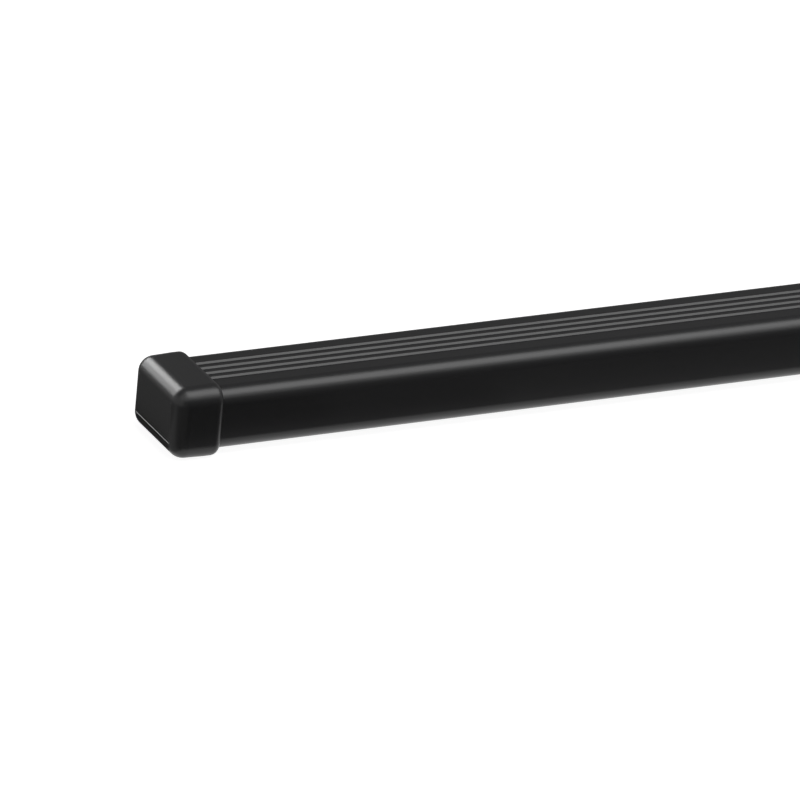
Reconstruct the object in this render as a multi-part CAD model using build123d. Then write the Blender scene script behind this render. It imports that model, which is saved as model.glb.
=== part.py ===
from build123d import *
import os
from math import acos, radians, sin, tan

# Roof rack crossbar: a coated rectangular steel tube with a push-on cap at each end.
# The bar lies along X with its grooved side up. The origin is at the middle of its length,
# in the centre of its section. All sizes are in millimetres.

# Bar, measured over the coating
bar_length = 1180.0
bar_width = 32.0
bar_height = 22.0
bar_corner = 5.3

# Coating thickness on the sides, below, and above where the grooves are
coat_side = 1.0
coat_bottom = 1.0
coat_top = 1.6

# Steel tube inside the coating
tube_wall = 1.5

# Grooves along the top: shallow, with sloping flanks and a flat root
groove_count = 4
groove_pitch = 3.8
groove_width = 2.8
groove_depth = 0.55
groove_root = 1.6

# Skirt of the cap: its reach over the bar, its wall and its play on the bar
skirt_grip = 13.4
skirt_wall = 1.6
skirt_play = 0.15

# Mouth of the skirt: a straight collar with a rolled edge, the roll's radius and the flat rim inside it
collar_length = 5.0
mouth_round = 2.8
mouth_rim = 0.25

# Draft of the skirt from its collar to its closed end, in degrees
skirt_draft = 1.9

# Closed end of the cap, beyond the bar's sawn end: its edges and corners share one radius
end_thickness = 3.5
end_round = 5.5
face_wall = 2.0

# Pull lip low on the end face: its edge above the bar's underside, and the face's set-back behind it
lip_rise = 4.05
lip_depth = 0.15
face_margin = 0.6

# Spigot that plugs into the tube, and the crush ribs that hold it there
spigot_length = 22.0
spigot_gap = 0.6
spigot_wall = 1.5
spigot_lead = 1.0
rib_thickness = 1.0
rib_spacing = 13.0
rib_ramp = 3.0
rib_play = 0.05

# Steel tube, worked out from the bar and its coating
core_width = bar_width - 2 * coat_side
core_height = bar_height - coat_top - coat_bottom
core_corner = bar_corner - coat_side
core_rise = (coat_bottom - coat_top) / 2
bore_width = core_width - 2 * tube_wall
bore_height = core_height - 2 * tube_wall
bore_corner = core_corner - tube_wall

# Outside of the cap at its collar
cap_width = bar_width + 2 * (skirt_play + skirt_wall)
cap_height = bar_height + 2 * (skirt_play + skirt_wall)

# Outside of the cap at its closed end, drawn in by the draft
draft_length = skirt_grip - collar_length + end_thickness - end_round
draft_inset = draft_length * tan(radians(skirt_draft))
end_width = cap_width - 2 * draft_inset
end_height = cap_height - 2 * draft_inset
skirt_corner = end_round + draft_inset

# Length of the collar that the mouth's roll takes up, from the rim to where the roll ends
roll_length = mouth_round * sin(acos(1 - (skirt_wall - mouth_rim) / mouth_round))

# Spigot, inside the tube's bore
spigot_width = bore_width - 2 * spigot_gap
spigot_height = bore_height - 2 * spigot_gap
spigot_corner = bore_corner - spigot_gap
rib_height = spigot_gap - rib_play


def rounded_prism(width, height, corner, start, end, rise=0.0):
    """A round-cornered bar along X, from start to end, with its centre at the height rise."""
    section = Plane.YZ.offset(start) * Pos(0, rise) * RectangleRounded(width, height, corner)
    return extrude(section, amount=end - start)


def core_tube():
    """Rectangular steel tube, sawn to length with its coating."""
    half = bar_length / 2
    outside = rounded_prism(core_width, core_height, core_corner, -half, half, core_rise)
    bore = rounded_prism(bore_width, bore_height, bore_corner, -half, half, core_rise)
    return outside - bore


def groove(centre):
    """One groove in the coating's top, as the long wedge that is taken out of it."""
    top = bar_height / 2
    outline = Polyline(
        (centre - groove_width / 2, top),
        (centre - groove_root / 2, top - groove_depth),
        (centre + groove_root / 2, top - groove_depth),
        (centre + groove_width / 2, top),
        close=True,
    )
    section = Plane.YZ.offset(-bar_length / 2) * make_face(outline)
    return extrude(section, amount=bar_length)


def bar_sheath():
    """Extruded coating that wraps the tube, with grooves along its top."""
    half = bar_length / 2
    sheath = rounded_prism(bar_width, bar_height, bar_corner, -half, half)
    sheath -= rounded_prism(core_width, core_height, core_corner, -half, half, core_rise)
    for index in range(groove_count):
        sheath -= groove((index - (groove_count - 1) / 2) * groove_pitch)
    return sheath


def cap_outside():
    """Outer form of the cap: a collar with a rolled mouth, a drafted skirt and a rounded closed end."""
    rim = -skirt_grip
    collar_end = rim + collar_length
    collar = rounded_prism(cap_width, cap_height, skirt_corner, rim + roll_length - mouth_round, collar_end)
    collar = fillet(collar.faces().sort_by(Axis.X)[0].edges(), mouth_round)
    collar = split(collar, Plane.YZ.offset(rim), keep=Keep.TOP)
    section = Plane.YZ.offset(collar_end) * RectangleRounded(cap_width, cap_height, skirt_corner)
    skirt = extrude(section, amount=draft_length, taper=skirt_draft)
    end = rounded_prism(end_width, end_height, end_round, collar_end, end_thickness)
    end = fillet(end.faces().sort_by(Axis.X)[-1].edges(), end_round)
    return collar + skirt + end


def face_relief():
    """Thin wedge off the end face, which leaves it leaning back behind a pull lip."""
    lip = lip_rise - bar_height / 2
    top = end_height / 2 - end_round - face_margin
    outline = Polyline(
        (end_thickness - lip_depth, lip + lip_depth),
        (end_thickness, top),
        (end_thickness + lip_depth, top),
        (end_thickness + lip_depth, lip - lip_depth),
        close=True,
    )
    return extrude(Plane.XZ * make_face(outline), amount=cap_width / 2, both=True)


def crush_rib(turn, reach, across):
    """One rib on the spigot with a ramp at its tip: turn picks the side it stands on."""
    outline = Polyline(
        (0, reach - spigot_wall / 2),
        (0, reach + rib_height),
        (rib_ramp - spigot_length, reach + rib_height),
        (-spigot_length, reach - spigot_wall / 2),
        close=True,
    )
    rib = extrude(Plane.XZ * make_face(outline), amount=rib_thickness / 2, both=True)
    return Pos(0, 0, core_rise) * Rot(turn, 0, 0) * Pos(0, across, 0) * rib


def end_cap():
    """Moulded cap with its floor on the bar's sawn end at x = 0 and its closed end towards +X."""
    cavity = rounded_prism(
        bar_width + 2 * skirt_play, bar_height + 2 * skirt_play, bar_corner + skirt_play, -skirt_grip, 0
    )
    cap = cap_outside() - face_relief() - cavity
    spigot = rounded_prism(spigot_width, spigot_height, spigot_corner, -spigot_length, 0, core_rise)
    cap += chamfer(spigot.faces().sort_by(Axis.X)[0].edges(), spigot_lead)
    for turn in (0, 180):
        for across in (-rib_spacing / 2, rib_spacing / 2):
            cap += crush_rib(turn, spigot_height / 2, across)
    for turn in (90, -90):
        cap += crush_rib(turn, spigot_width / 2, 0)
    pocket = rounded_prism(
        spigot_width - 2 * spigot_wall,
        spigot_height - 2 * spigot_wall,
        spigot_corner - spigot_wall,
        -spigot_length,
        end_thickness - face_wall,
        core_rise,
    )
    return cap - pocket


cap = end_cap()
pieces = {
    "core_tube": core_tube(),
    "bar_sheath": bar_sheath(),
    "end_cap_left": Pos(-bar_length / 2, 0, 0) * Rot(0, 0, 180) * cap,
    "end_cap_right": Pos(bar_length / 2, 0, 0) * cap,
}

os.makedirs("parts", exist_ok=True)
for name, piece in pieces.items():
    export_step(piece, f"parts/{name}.step")
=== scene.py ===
from math import cos, degrees, radians, sin

import bmesh
import bpy
from bpy.props import FloatProperty, FloatVectorProperty, IntProperty, PointerProperty
from mathutils import Matrix, Vector


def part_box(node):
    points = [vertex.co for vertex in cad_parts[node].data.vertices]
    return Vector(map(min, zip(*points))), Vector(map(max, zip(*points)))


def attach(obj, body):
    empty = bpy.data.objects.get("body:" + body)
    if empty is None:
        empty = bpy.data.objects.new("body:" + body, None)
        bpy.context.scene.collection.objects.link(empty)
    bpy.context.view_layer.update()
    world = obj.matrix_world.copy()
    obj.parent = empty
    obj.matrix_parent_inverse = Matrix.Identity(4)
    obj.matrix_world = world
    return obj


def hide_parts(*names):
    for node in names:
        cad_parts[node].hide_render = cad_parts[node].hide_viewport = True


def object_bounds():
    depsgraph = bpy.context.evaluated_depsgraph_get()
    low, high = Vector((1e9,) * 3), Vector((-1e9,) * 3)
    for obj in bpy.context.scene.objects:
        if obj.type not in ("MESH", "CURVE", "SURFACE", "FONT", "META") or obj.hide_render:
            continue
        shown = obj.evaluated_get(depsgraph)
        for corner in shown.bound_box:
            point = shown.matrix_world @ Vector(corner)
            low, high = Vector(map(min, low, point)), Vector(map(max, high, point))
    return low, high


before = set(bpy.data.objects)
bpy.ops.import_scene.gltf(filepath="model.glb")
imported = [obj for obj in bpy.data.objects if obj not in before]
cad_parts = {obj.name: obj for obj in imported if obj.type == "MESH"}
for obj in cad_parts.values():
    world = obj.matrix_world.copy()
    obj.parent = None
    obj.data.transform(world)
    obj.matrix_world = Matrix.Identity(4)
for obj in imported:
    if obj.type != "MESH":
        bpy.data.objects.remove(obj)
cad_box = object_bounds()

bl_info = {
    "name": "Roof Rack Crossbar",
    "version": (1, 0, 0),
    "blender": (4, 5, 0),
    "location": "View3D > Sidebar > Crossbar",
    "description": "Finishes a coated steel load bar and its end caps, and sets it on a white studio floor",
    "category": "Object",
}

# Lengths are in metres
MM = 0.001

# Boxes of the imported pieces: the modelled tube and coating fill theirs exactly
TUBE_LOW, TUBE_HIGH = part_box("core_tube")
SHEATH_LOW, SHEATH_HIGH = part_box("bar_sheath")
CAP_LOW, CAP_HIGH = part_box("end_cap_left")

# Radius of the edges round a cap's closed end
CAP_EDGE = 5.5 * MM

# Straight steps that a round corner and a groove's lip are drawn with
CORNER_STEPS = 20
LIP_STEPS = 4

# Bend from which an edge is shaded sharp
SHARP_BEND = radians(35)

# Shine of both black plastics: their IOR, and their least and greatest roughness
PLASTIC_IOR = 1.5
PLASTIC_ROUGHNESS = (0.28, 0.38)

# Die lines along the coating: really about 0.3 mm apart, and drawn wider apart so that they show
DIE_LINE_LENGTH = 150 * MM
DIE_LINE_SPACING = 0.7 * MM
DIE_LINE_DEPTH = 0.01 * MM

# Grain of the caps: really about 0.15 mm, and drawn coarser so that it shows
GRAIN_SIZE = 0.4 * MM
GRAIN_DEPTH = 0.013 * MM

# Zinc crystals of the steel: their width, the darkest one's share of the brightest's tone, and their shine
CRYSTAL_SIZE = 5 * MM
CRYSTAL_DARKEST = 0.72
CRYSTAL_ROUGHNESS = (0.32, 0.52)
ZINC_METALLIC = 0.7

# White floor: its reach each way, its glow to the camera, and the paper's own tone, which takes the shadow
FLOOR_REACH = 40.0
PAPER_GLOW = 0.92
PAPER_TONE = 0.4

# Softbox over the bar: its place, the point that it faces, and its length and width
SOFTBOX_PLACE = (-0.02, -0.3, 0.95)
SOFTBOX_AIM = (-0.02, 0.0, 0.0)
SOFTBOX_SIZE = (1.4, 0.75)

# How far the camera sees, which is past the floor's corners
CAMERA_SIGHT = 200.0

# Room of cards that the plastic mirrors: its reach each way, its height, and the cards' lift off the floor
FAR = 6.0
ROOF = 4.0
CARD_LIFT = 0.2 * MM

# Lines along X where cards on the floor meet: at the bar's two ends, left of it, and from its left end on
LEFT_END = CAP_LOW.x
RIGHT_END = cad_box[1].x
LEFT_FLOOR = LEFT_END - 0.1
LEFT_FOOT = LEFT_END - 0.005
CAP_INNER = LEFT_END + 0.018
CAP_STRIP_END = LEFT_END + 0.07
MIDDLE_STRIP_END = LEFT_END + 0.13

# Lines along Y where cards on the floor meet: the cap's two sides, and others from the front to the back
CAP_FRONT = CAP_LOW.y
CAP_BACK = CAP_HIGH.y
STRIP_FRONT = -0.045
CAP_STRIP_FRONT = -0.032
STRIP_BACK = -0.024
CORNER_FRONT = -0.02
UNDER_CAP_FRONT = -0.009
FOOT_FRONT = -0.008

# Cards on the floor: from X to X, from Y to Y, and an even level, where 1 is the white of the room
FLOOR_CARDS = (
    ("front_card", (CAP_STRIP_END, RIGHT_END), (-FAR, STRIP_FRONT), 0.08),
    ("front_near_card", (MIDDLE_STRIP_END, RIGHT_END), (STRIP_FRONT, STRIP_BACK), 0.17),
    ("front_middle_card", (CAP_STRIP_END, MIDDLE_STRIP_END), (STRIP_FRONT, STRIP_BACK), 0.09),
    ("front_end_card", (LEFT_END, CAP_STRIP_END), (-FAR, CAP_STRIP_FRONT), 0.02),
    ("front_foot_card", (LEFT_END, CAP_STRIP_END), (CAP_STRIP_FRONT, STRIP_BACK), 0.12),
    ("edge_card", (LEFT_END, RIGHT_END), (STRIP_BACK, CAP_FRONT), 0.9),
    ("under_bar_card", (CAP_INNER, RIGHT_END), (CAP_FRONT, CAP_BACK), 1.1),
    ("cap_edge_card", (LEFT_END, CAP_INNER), (CAP_FRONT, UNDER_CAP_FRONT), 0.9),
    ("under_cap_card", (LEFT_END, CAP_INNER), (UNDER_CAP_FRONT, CAP_BACK), 0.05),
    ("back_card", (LEFT_END, RIGHT_END), (CAP_BACK, FAR), 0.12),
    ("left_front_card", (LEFT_FLOOR, LEFT_END), (-FAR, CORNER_FRONT), 0.12),
    ("left_near_card", (LEFT_FLOOR, LEFT_FOOT), (CORNER_FRONT, 0.0), 0.42),
    ("left_back_card", (LEFT_FLOOR, LEFT_FOOT), (0.0, FAR), 0.175),
    ("left_foot_card", (LEFT_FOOT, LEFT_END), (FOOT_FRONT, FAR), 0.05),
    ("left_corner_card", (LEFT_FOOT, LEFT_END), (CORNER_FRONT, FOOT_FRONT), 0.42),
    ("left_card", (-FAR, LEFT_FLOOR), (-FAR, FAR), 0.65),
    ("right_card", (RIGHT_END, FAR), (-FAR, FAR), 0.2),
)

# Cards on the walls: from one corner of the room to the next, and an even level
WALL_CARDS = (
    ("front_wall_card", (-FAR, -FAR), (FAR, -FAR), 0.075),
    ("right_wall_card", (FAR, -FAR), (FAR, FAR), 0.4),
    ("back_wall_card", (FAR, FAR), (-FAR, FAR), 0.17),
    ("left_wall_card", (-FAR, FAR), (-FAR, -FAR), 0.66),
)

# Cards under the roof: from Y to Y, and an even level
ROOF_CARDS = (
    ("front_roof_card", (-FAR, 0.0), 1.05),
    ("back_roof_card", (0.0, FAR), 0.145),
)

# Gleam cards by each cap: their distance from the axis of its upper end edge, and where they lie along Y
GLEAM_REACH = 0.15
GLEAM_SPAN = (0.16, 0.34)

# Turn of each gleam card about that axis, from and to, in degrees outwards from upright, and an even level
GLEAM_CARDS = (
    ("gleam_card", (-1, 36), 10.6),
    ("low_gleam_card", (36, 75), 6.0),
)


# Settings that a user may change


def linear(hex_colour):
    """Turns an sRGB hex colour into the linear red, green, blue and alpha that a shader takes."""
    channels = [int(hex_colour[i:i + 2], 16) / 255 for i in (1, 3, 5)]
    return tuple(c / 12.92 if c <= 0.04045 else ((c + 0.055) / 1.055) ** 2.4 for c in channels) + (1.0,)


def size(name, description, default):
    """A length in metres."""
    return FloatProperty(
        name=name, description=description, default=default, min=0.0, unit="LENGTH", precision=5
    )


def angle(name, description, default):
    """An angle, with its default in degrees."""
    return FloatProperty(name=name, description=description, default=radians(default), subtype="ANGLE")


def colour(name, description, hex_colour):
    """A colour, with its default written as sRGB."""
    return FloatVectorProperty(
        name=name,
        description=description,
        default=linear(hex_colour),
        size=4,
        min=0.0,
        max=1.0,
        subtype="COLOR",
    )


class BarSizes(bpy.types.PropertyGroup):
    """Sizes of the bar's section that its packed box doesn't give."""

    corner: size("Corner", "Outer radius of the coating's long corners", 5.3 * MM)
    side_coat: size("Side coat", "Thickness of the coating on the bar's sides", 1.0 * MM)
    tube_wall: size("Tube wall", "Thickness of the steel", 1.5 * MM)
    groove_pitch: size("Groove pitch", "Distance from one groove to the next", 3.8 * MM)
    groove_width: size("Groove width", "Width of a groove at the bar's top", 2.8 * MM)
    groove_depth: size("Groove depth", "Depth of a groove", 0.55 * MM)
    groove_root: size("Groove root", "Width of the flat at a groove's bottom", 1.6 * MM)
    groove_lip: size("Groove lip", "Small radius that the die leaves on a groove's edges", 0.1 * MM)
    groove_count: IntProperty(
        name="Grooves", description="Number of grooves along the top", default=4, min=1
    )


class BarColours(bpy.types.PropertyGroup):
    """Colours of the bar's three materials."""

    coating: colour("Coating", "Extruded black polymer of the coating", "#222223")
    cap: colour("Caps", "Moulded black polymer of the end caps", "#232324")
    steel: colour("Steel", "Galvanised steel of the tube", "#b4b7b9")


class StageSettings(bpy.types.PropertyGroup):
    """Camera and light of the white studio set. The camera is fitted to the photograph."""

    camera_turn: angle("Turn", "Camera's turn about the vertical", -28.4433)
    camera_rise: angle("Rise", "Camera's height above the horizon", 24.3331)
    camera_roll: angle("Roll", "Camera's roll about its own line of sight", 5.509)
    camera_lens: FloatProperty(
        name="Lens",
        description="Focal length on a 36 mm sensor, in millimetres",
        default=424.54,
        min=1.0,
        unit="CAMERA",
    )
    camera_aim: FloatVectorProperty(
        name="Aim",
        description="Point that the camera looks at",
        default=(-0.50299, 0.0, -0.00814),
        unit="LENGTH",
    )
    camera_distance: size("Distance", "From the camera to the point it looks at", 3.1126)
    top_light: FloatProperty(
        name="Top light",
        description="Power of the softbox over the bar",
        default=7.6,
        min=0.0,
        unit="POWER",
    )
    ambient: FloatProperty(
        name="Ambient", description="Level of the even light all round", default=0.3, min=0.0
    )


# Materials


def add_node(tree, kind, values=None, links=None, **settings):
    """Adds one node: its settings, the values of its sockets and the outputs that are linked to them."""
    node = tree.nodes.new(kind)
    for name, value in settings.items():
        setattr(node, name, value)
    for socket, value in (values or {}).items():
        node.inputs[socket].default_value = value
    for socket, source in (links or {}).items():
        tree.links.new(source, node.inputs[socket])
    return node


def new_material(name):
    """A material with an empty node tree, and that tree."""
    material = bpy.data.materials.new(name)
    material.use_nodes = True
    material.node_tree.nodes.clear()
    return material, material.node_tree


def finish_plastic(tree, tint, pattern, depth):
    """Finishes a satin plastic, with a shine and a relief that follow one fine pattern."""
    smooth, rough = PLASTIC_ROUGHNESS
    shine = add_node(tree, "ShaderNodeMapRange", {"To Min": smooth, "To Max": rough}, {"Value": pattern})
    relief = add_node(tree, "ShaderNodeBump", {"Strength": 1.0, "Distance": depth}, {"Height": pattern})
    shader = add_node(
        tree,
        "ShaderNodeBsdfPrincipled",
        {"Base Color": tint, "IOR": PLASTIC_IOR},
        {"Roughness": shine.outputs["Result"], "Normal": relief.outputs["Normal"]},
    )
    add_node(tree, "ShaderNodeOutputMaterial", links={"Surface": shader.outputs["BSDF"]})


def extruded_coating(tint):
    """Black PVC, extruded through a die: satin, with faint lines along the bar where the die dragged."""
    material, tree = new_material("extruded_satin_black_polymer")
    place = add_node(tree, "ShaderNodeTexCoord").outputs["Object"]
    stretched = add_node(
        tree,
        "ShaderNodeMapping",
        {"Scale": (1 / DIE_LINE_LENGTH, 1 / DIE_LINE_SPACING, 1 / DIE_LINE_SPACING)},
        {"Vector": place},
    ).outputs["Vector"]
    lines = add_node(
        tree, "ShaderNodeTexNoise", {"Scale": 1.0, "Detail": 3.0, "Roughness": 0.6}, {"Vector": stretched}
    ).outputs["Fac"]
    finish_plastic(tree, tint, lines, DIE_LINE_DEPTH)
    return material


def moulded_cap_plastic(tint):
    """Black polypropylene from a spark-eroded mould: an even, fine grain that softens every highlight."""
    material, tree = new_material("moulded_fine_grain_black_polypropylene")
    place = add_node(tree, "ShaderNodeTexCoord").outputs["Object"]
    grain = add_node(
        tree,
        "ShaderNodeTexNoise",
        {"Scale": 1 / GRAIN_SIZE, "Detail": 2.0, "Roughness": 0.6},
        {"Vector": place},
    ).outputs["Fac"]
    finish_plastic(tree, tint, grain, GRAIN_DEPTH)
    return material


def galvanised_steel(tint):
    """Hot-dipped galvanised steel: zinc crystals of uneven brightness under a dull, scattering skin."""
    material, tree = new_material("galvanised_steel")
    place = add_node(tree, "ShaderNodeTexCoord").outputs["Object"]
    crystals = add_node(tree, "ShaderNodeTexVoronoi", {"Scale": 1 / CRYSTAL_SIZE}, {"Vector": place})
    shade = add_node(
        tree, "ShaderNodeSeparateColor", links={"Color": crystals.outputs["Color"]}
    ).outputs["Red"]
    darkest = tuple(CRYSTAL_DARKEST * channel for channel in tint[:3]) + (1.0,)
    base = add_node(
        tree, "ShaderNodeMix", {"A": darkest, "B": tint}, {"Factor": shade}, data_type="RGBA"
    )
    smooth, rough = CRYSTAL_ROUGHNESS
    shine = add_node(tree, "ShaderNodeMapRange", {"To Min": smooth, "To Max": rough}, {"Value": shade})
    shader = add_node(
        tree,
        "ShaderNodeBsdfPrincipled",
        {"Metallic": ZINC_METALLIC},
        {"Base Color": base.outputs["Result"], "Roughness": shine.outputs["Result"]},
    )
    add_node(tree, "ShaderNodeOutputMaterial", links={"Surface": shader.outputs["BSDF"]})
    return material


def glowing_card(name, level):
    """A card that mirrors in the plastic at one even level."""
    material, tree = new_material(name)
    glow = add_node(tree, "ShaderNodeEmission", {"Color": (level, level, level, 1.0)})
    add_node(tree, "ShaderNodeOutputMaterial", links={"Surface": glow.outputs["Emission"]})
    return material


def seen_directly(tree):
    """An output that is 1 for what the camera sees, also in mirrors and through glass, and 0 otherwise."""
    path = add_node(tree, "ShaderNodeLightPath").outputs
    seen = path["Is Camera Ray"]
    for ray in ("Is Glossy Ray", "Is Transmission Ray"):
        both = add_node(tree, "ShaderNodeMath", links={0: seen, 1: path[ray]}, operation="MAXIMUM")
        seen = both.outputs[0]
    return seen


def white_paper():
    """White background paper: white to the camera and in mirrors, and it takes the bar's soft shadow."""
    material, tree = new_material("white_background_paper")
    level = add_node(
        tree, "ShaderNodeMath", {1: PAPER_GLOW}, {0: seen_directly(tree)}, operation="MULTIPLY"
    ).outputs[0]
    glow = add_node(tree, "ShaderNodeEmission", links={"Strength": level}).outputs["Emission"]
    tone = (PAPER_TONE, PAPER_TONE, PAPER_TONE, 1.0)
    paper = add_node(tree, "ShaderNodeBsdfDiffuse", {"Color": tone}).outputs["BSDF"]
    both = add_node(tree, "ShaderNodeAddShader", links={0: glow, 1: paper}).outputs["Shader"]
    add_node(tree, "ShaderNodeOutputMaterial", links={"Surface": both})
    return material


# Bar: its sections, across and up, its meshes and the steps that make them


def arc(centre, radius, start, end, steps):
    """Points of an arc in a section, from one angle to another in degrees."""
    angles = [radians(start + (end - start) * i / steps) for i in range(steps + 1)]
    return [(centre[0] + radius * cos(t), centre[1] + radius * sin(t)) for t in angles]


def rounded_corners(low, high, corner):
    """Four round corners of a section that fills a box, anticlockwise from the upper right one."""
    left, right = low.y + corner, high.y - corner
    bottom, top = low.z + corner, high.z - corner
    return [
        arc((right, top), corner, 0, 90, CORNER_STEPS),
        arc((left, top), corner, 90, 180, CORNER_STEPS),
        arc((left, bottom), corner, 180, 270, CORNER_STEPS),
        arc((right, bottom), corner, 270, 360, CORNER_STEPS),
    ]


def groove(centre, top, sizes):
    """Points of one groove, from its right edge to its left, with a small radius on both edges."""
    half_width, half_root = sizes.groove_width / 2, sizes.groove_root / 2
    flank = Vector((half_width - half_root, sizes.groove_depth))
    slope = flank.angle(Vector((1, 0)))
    lip = sizes.groove_lip
    # The lip's arc touches the flat top and the flank, so its centre lies that far out from the edge
    reach = lip * (1 - cos(slope)) / sin(slope)
    right = arc((half_width + reach, top - lip), lip, 90, 90 + degrees(slope), LIP_STEPS)
    left = [(-across, up) for across, up in reversed(right)]
    root = [(half_root, top - sizes.groove_depth), (-half_root, top - sizes.groove_depth)]
    return [(centre + across, up) for across, up in right + root + left]


def joined(stretches):
    """Points of a whole section, from its stretches in order."""
    return [point for stretch in stretches for point in stretch]


def hollow_bar(name, outer, inner, start, end):
    """A hollow bar along X, from start to end, between an outer and an inner section."""
    mesh = bmesh.new()
    ends = []
    for x in (start, end):
        loops = [[mesh.verts.new((x, across, up)) for across, up in section] for section in (outer, inner)]
        edges = [mesh.edges.new((loop[i - 1], loop[i])) for loop in loops for i in range(len(loop))]
        bmesh.ops.triangle_fill(mesh, edges=edges, use_beauty=True)
        ends.append(loops)
    for near, far in zip(*ends):
        for i in range(len(near)):
            mesh.faces.new((near[i - 1], near[i], far[i], far[i - 1]))
    bmesh.ops.recalc_face_normals(mesh, faces=mesh.faces)
    data = bpy.data.meshes.new(name)
    mesh.to_mesh(data)
    mesh.free()
    data.shade_smooth()
    data.set_sharp_from_angle(angle=SHARP_BEND)
    piece = bpy.data.objects.new(name, data)
    bpy.context.scene.collection.objects.link(piece)
    # Flats keep their own normal right up to the round corners
    piece.modifiers.new("flat_normals", "WEIGHTED_NORMAL").keep_sharp = True
    return piece


class CROSSBAR_OT_coating(bpy.types.Operator):
    """Model the extruded coating with its grooved top"""

    bl_idname = "crossbar.coating"
    bl_label = "Coating"

    def execute(self, context):
        sizes = context.scene.bar_sizes
        upper_right, *other_corners = rounded_corners(SHEATH_LOW, SHEATH_HIGH, sizes.corner)
        middle = (sizes.groove_count - 1) / 2
        grooves = [
            groove((middle - i) * sizes.groove_pitch, SHEATH_HIGH.z, sizes)
            for i in range(sizes.groove_count)
        ]
        outer = joined([upper_right, *grooves, *other_corners])
        inner = joined(rounded_corners(TUBE_LOW, TUBE_HIGH, sizes.corner - sizes.side_coat))
        piece = hollow_bar("coating", outer, inner, SHEATH_LOW.x, SHEATH_HIGH.x)
        piece.data.materials.append(extruded_coating(context.scene.bar_colours.coating))
        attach(piece, "bar")
        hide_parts("bar_sheath")
        return {"FINISHED"}


class CROSSBAR_OT_tube(bpy.types.Operator):
    """Model the steel tube inside the coating"""

    bl_idname = "crossbar.tube"
    bl_label = "Steel tube"

    def execute(self, context):
        sizes = context.scene.bar_sizes
        corner = sizes.corner - sizes.side_coat
        wall = Vector((0, sizes.tube_wall, sizes.tube_wall))
        outer = joined(rounded_corners(TUBE_LOW, TUBE_HIGH, corner))
        inner = joined(rounded_corners(TUBE_LOW + wall, TUBE_HIGH - wall, corner - sizes.tube_wall))
        piece = hollow_bar("steel_tube", outer, inner, TUBE_LOW.x, TUBE_HIGH.x)
        piece.data.materials.append(galvanised_steel(context.scene.bar_colours.steel))
        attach(piece, "bar")
        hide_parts("core_tube")
        return {"FINISHED"}


class CROSSBAR_OT_caps(bpy.types.Operator):
    """Finish both moulded end caps"""

    bl_idname = "crossbar.caps"
    bl_label = "End caps"

    def execute(self, context):
        plastic = moulded_cap_plastic(context.scene.bar_colours.cap)
        for node in ("end_cap_left", "end_cap_right"):
            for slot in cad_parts[node].material_slots:
                slot.material = plastic
        return {"FINISHED"}


# Studio set


def level_corners(x_span, y_span, height):
    """Corners of a level rectangle, from X to X and from Y to Y."""
    (x0, x1), (y0, y1) = x_span, y_span
    return [(x0, y0, height), (x1, y0, height), (x1, y1, height), (x0, y1, height)]


def flat_sheet(name, corners, material):
    """One flat four-cornered sheet of the set."""
    data = bpy.data.meshes.new(name)
    data.from_pydata(corners, [], [(0, 1, 2, 3)])
    data.materials.append(material)
    sheet = bpy.data.objects.new(name, data)
    bpy.context.scene.collection.objects.link(sheet)
    return sheet


def mirrored_card(name, corners, level):
    """One card at an even level that only mirrors see."""
    card = flat_sheet(name, corners, glowing_card(name, level))
    card.visible_camera = False
    card.visible_diffuse = False
    card.visible_shadow = False
    card.visible_transmission = False
    return card


def gleam_edge(sign, turn):
    """X and Z of a gleam card's edge, turned about the upper end edge of the cap where X has that sign."""
    outwards = GLEAM_REACH * sin(radians(turn)) - CAP_LOW.x - CAP_EDGE
    upwards = GLEAM_REACH * cos(radians(turn)) + CAP_HIGH.z - CAP_EDGE
    return sign * outwards, upwards


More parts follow.
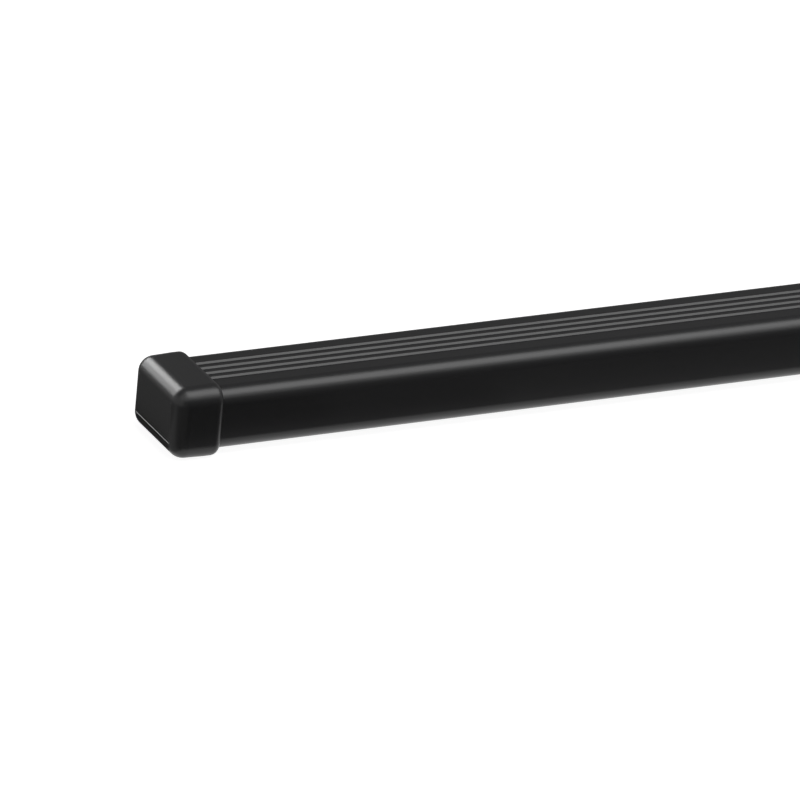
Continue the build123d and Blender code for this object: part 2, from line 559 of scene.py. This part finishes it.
class CROSSBAR_OT_stage(bpy.types.Operator):
    """Set up the white floor, the cards that the plastic mirrors, the softbox and the camera"""

    bl_idname = "crossbar.stage"
    bl_label = "Studio set"

    def execute(self, context):
        scene = context.scene
        settings = scene.stage_settings
        floor = cad_box[0].z
        reach = (-FLOOR_REACH, FLOOR_REACH)
        self.light_room(scene, settings.ambient)
        flat_sheet("floor", level_corners(reach, reach, floor), white_paper())
        self.set_cards(floor)
        self.set_gleam_cards()
        self.hang_softbox(scene, settings.top_light)
        self.place_camera(scene, settings)
        scene.view_settings.view_transform = "Standard"
        return {"FINISHED"}

    def light_room(self, scene, ambient):
        """White all round for the camera and for mirrors, and an even low light for the rest."""
        world = bpy.data.worlds.new("white_room")
        world.use_nodes = True
        tree = world.node_tree
        tree.nodes.clear()
        level = add_node(
            tree, "ShaderNodeMapRange", {"To Min": ambient, "To Max": 1.0}, {"Value": seen_directly(tree)}
        ).outputs["Result"]
        background = add_node(tree, "ShaderNodeBackground", links={"Strength": level})
        add_node(tree, "ShaderNodeOutputWorld", links={"Surface": background.outputs["Background"]})
        scene.world = world

    def set_cards(self, floor):
        """Cards on the floor and all round, which the black plastic mirrors in place of the white room."""
        low, high = floor + CARD_LIFT, floor + ROOF
        for name, x_span, y_span, level in FLOOR_CARDS:
            mirrored_card(name, level_corners(x_span, y_span, low), level)
        for name, start, end, level in WALL_CARDS:
            mirrored_card(name, [(*start, low), (*end, low), (*end, high), (*start, high)], level)
        for name, y_span, level in ROOF_CARDS:
            mirrored_card(name, level_corners((-FAR, FAR), y_span, high), level)

    def set_gleam_cards(self):
        """Bright cards up behind each cap, which draw the gleam along its rounded upper edge."""
        y0, y1 = GLEAM_SPAN
        for side, sign in (("left", -1), ("right", 1)):
            cap = bpy.data.collections.new(f"{side}_cap")
            cap.objects.link(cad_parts[f"end_cap_{side}"])
            for name, (first, last), level in GLEAM_CARDS:
                x0, z0 = gleam_edge(sign, first)
                x1, z1 = gleam_edge(sign, last)
                corners = [(x0, y0, z0), (x1, y0, z1), (x1, y1, z1), (x0, y1, z0)]
                card = mirrored_card(f"{side}_{name}", corners, level)
                # Only the cap mirrors it, so that it leaves no patch on the bar
                card.light_linking.receiver_collection = cap

    def hang_softbox(self, scene, watts):
        """The softbox over the bar, which the camera doesn't see."""
        data = bpy.data.lights.new("top_softbox", "AREA")
        data.shape = "RECTANGLE"
        data.size, data.size_y = SOFTBOX_SIZE
        data.energy = watts
        lamp = bpy.data.objects.new("top_softbox", data)
        lamp.location = SOFTBOX_PLACE
        facing = Vector(SOFTBOX_AIM) - Vector(SOFTBOX_PLACE)
        lamp.rotation_euler = facing.to_track_quat("-Z", "Y").to_euler()
        lamp.visible_camera = False
        scene.collection.objects.link(lamp)

    def place_camera(self, scene, settings):
        """The photograph's viewpoint, far off through a long lens."""
        turn, rise = settings.camera_turn, settings.camera_rise
        right = Vector((cos(turn), sin(turn), 0))
        back = Vector((sin(turn) * cos(rise), -cos(turn) * cos(rise), sin(rise)))
        up = back.cross(right)
        roll = Matrix.Rotation(settings.camera_roll, 3, back)
        axes = Matrix((roll @ right, roll @ up, back)).transposed()
        data = bpy.data.cameras.new("camera")
        data.lens = settings.camera_lens
        data.clip_end = CAMERA_SIGHT
        camera = bpy.data.objects.new("camera", data)
        place = Vector(settings.camera_aim) + settings.camera_distance * back
        camera.matrix_world = Matrix.Translation(place) @ axes.to_4x4()
        scene.collection.objects.link(camera)
        scene.camera = camera


# Panel and registration


class CROSSBAR_PT_panel(bpy.types.Panel):
    """Sizes, colours and steps of the crossbar"""

    bl_idname = "CROSSBAR_PT_panel"
    bl_label = "Crossbar"
    bl_space_type = "VIEW_3D"
    bl_region_type = "UI"
    bl_category = "Crossbar"

    def draw(self, context):
        for group in (context.scene.bar_sizes, context.scene.bar_colours, context.scene.stage_settings):
            box = self.layout.box()
            for name in group.__annotations__:
                box.prop(group, name)
        for step in OPERATORS:
            self.layout.operator(step.bl_idname)


OPERATORS = (CROSSBAR_OT_coating, CROSSBAR_OT_tube, CROSSBAR_OT_caps, CROSSBAR_OT_stage)
GROUPS = {"bar_sizes": BarSizes, "bar_colours": BarColours, "stage_settings": StageSettings}
CLASSES = (*GROUPS.values(), *OPERATORS, CROSSBAR_PT_panel)


def register():
    """Registers the settings, the steps and the panel, and gives each scene its settings."""
    for item in CLASSES:
        bpy.utils.register_class(item)
    for name, group in GROUPS.items():
        setattr(bpy.types.Scene, name, PointerProperty(type=group))


def unregister():
    """Takes back what register did, in the reverse order."""
    for name in GROUPS:
        delattr(bpy.types.Scene, name)
    for item in reversed(CLASSES):
        bpy.utils.unregister_class(item)


def main():
    """Runs each step in order."""
    register()
    bpy.ops.crossbar.coating()
    bpy.ops.crossbar.tube()
    bpy.ops.crossbar.caps()
    bpy.ops.crossbar.stage()


if __name__ == "__main__":
    main()
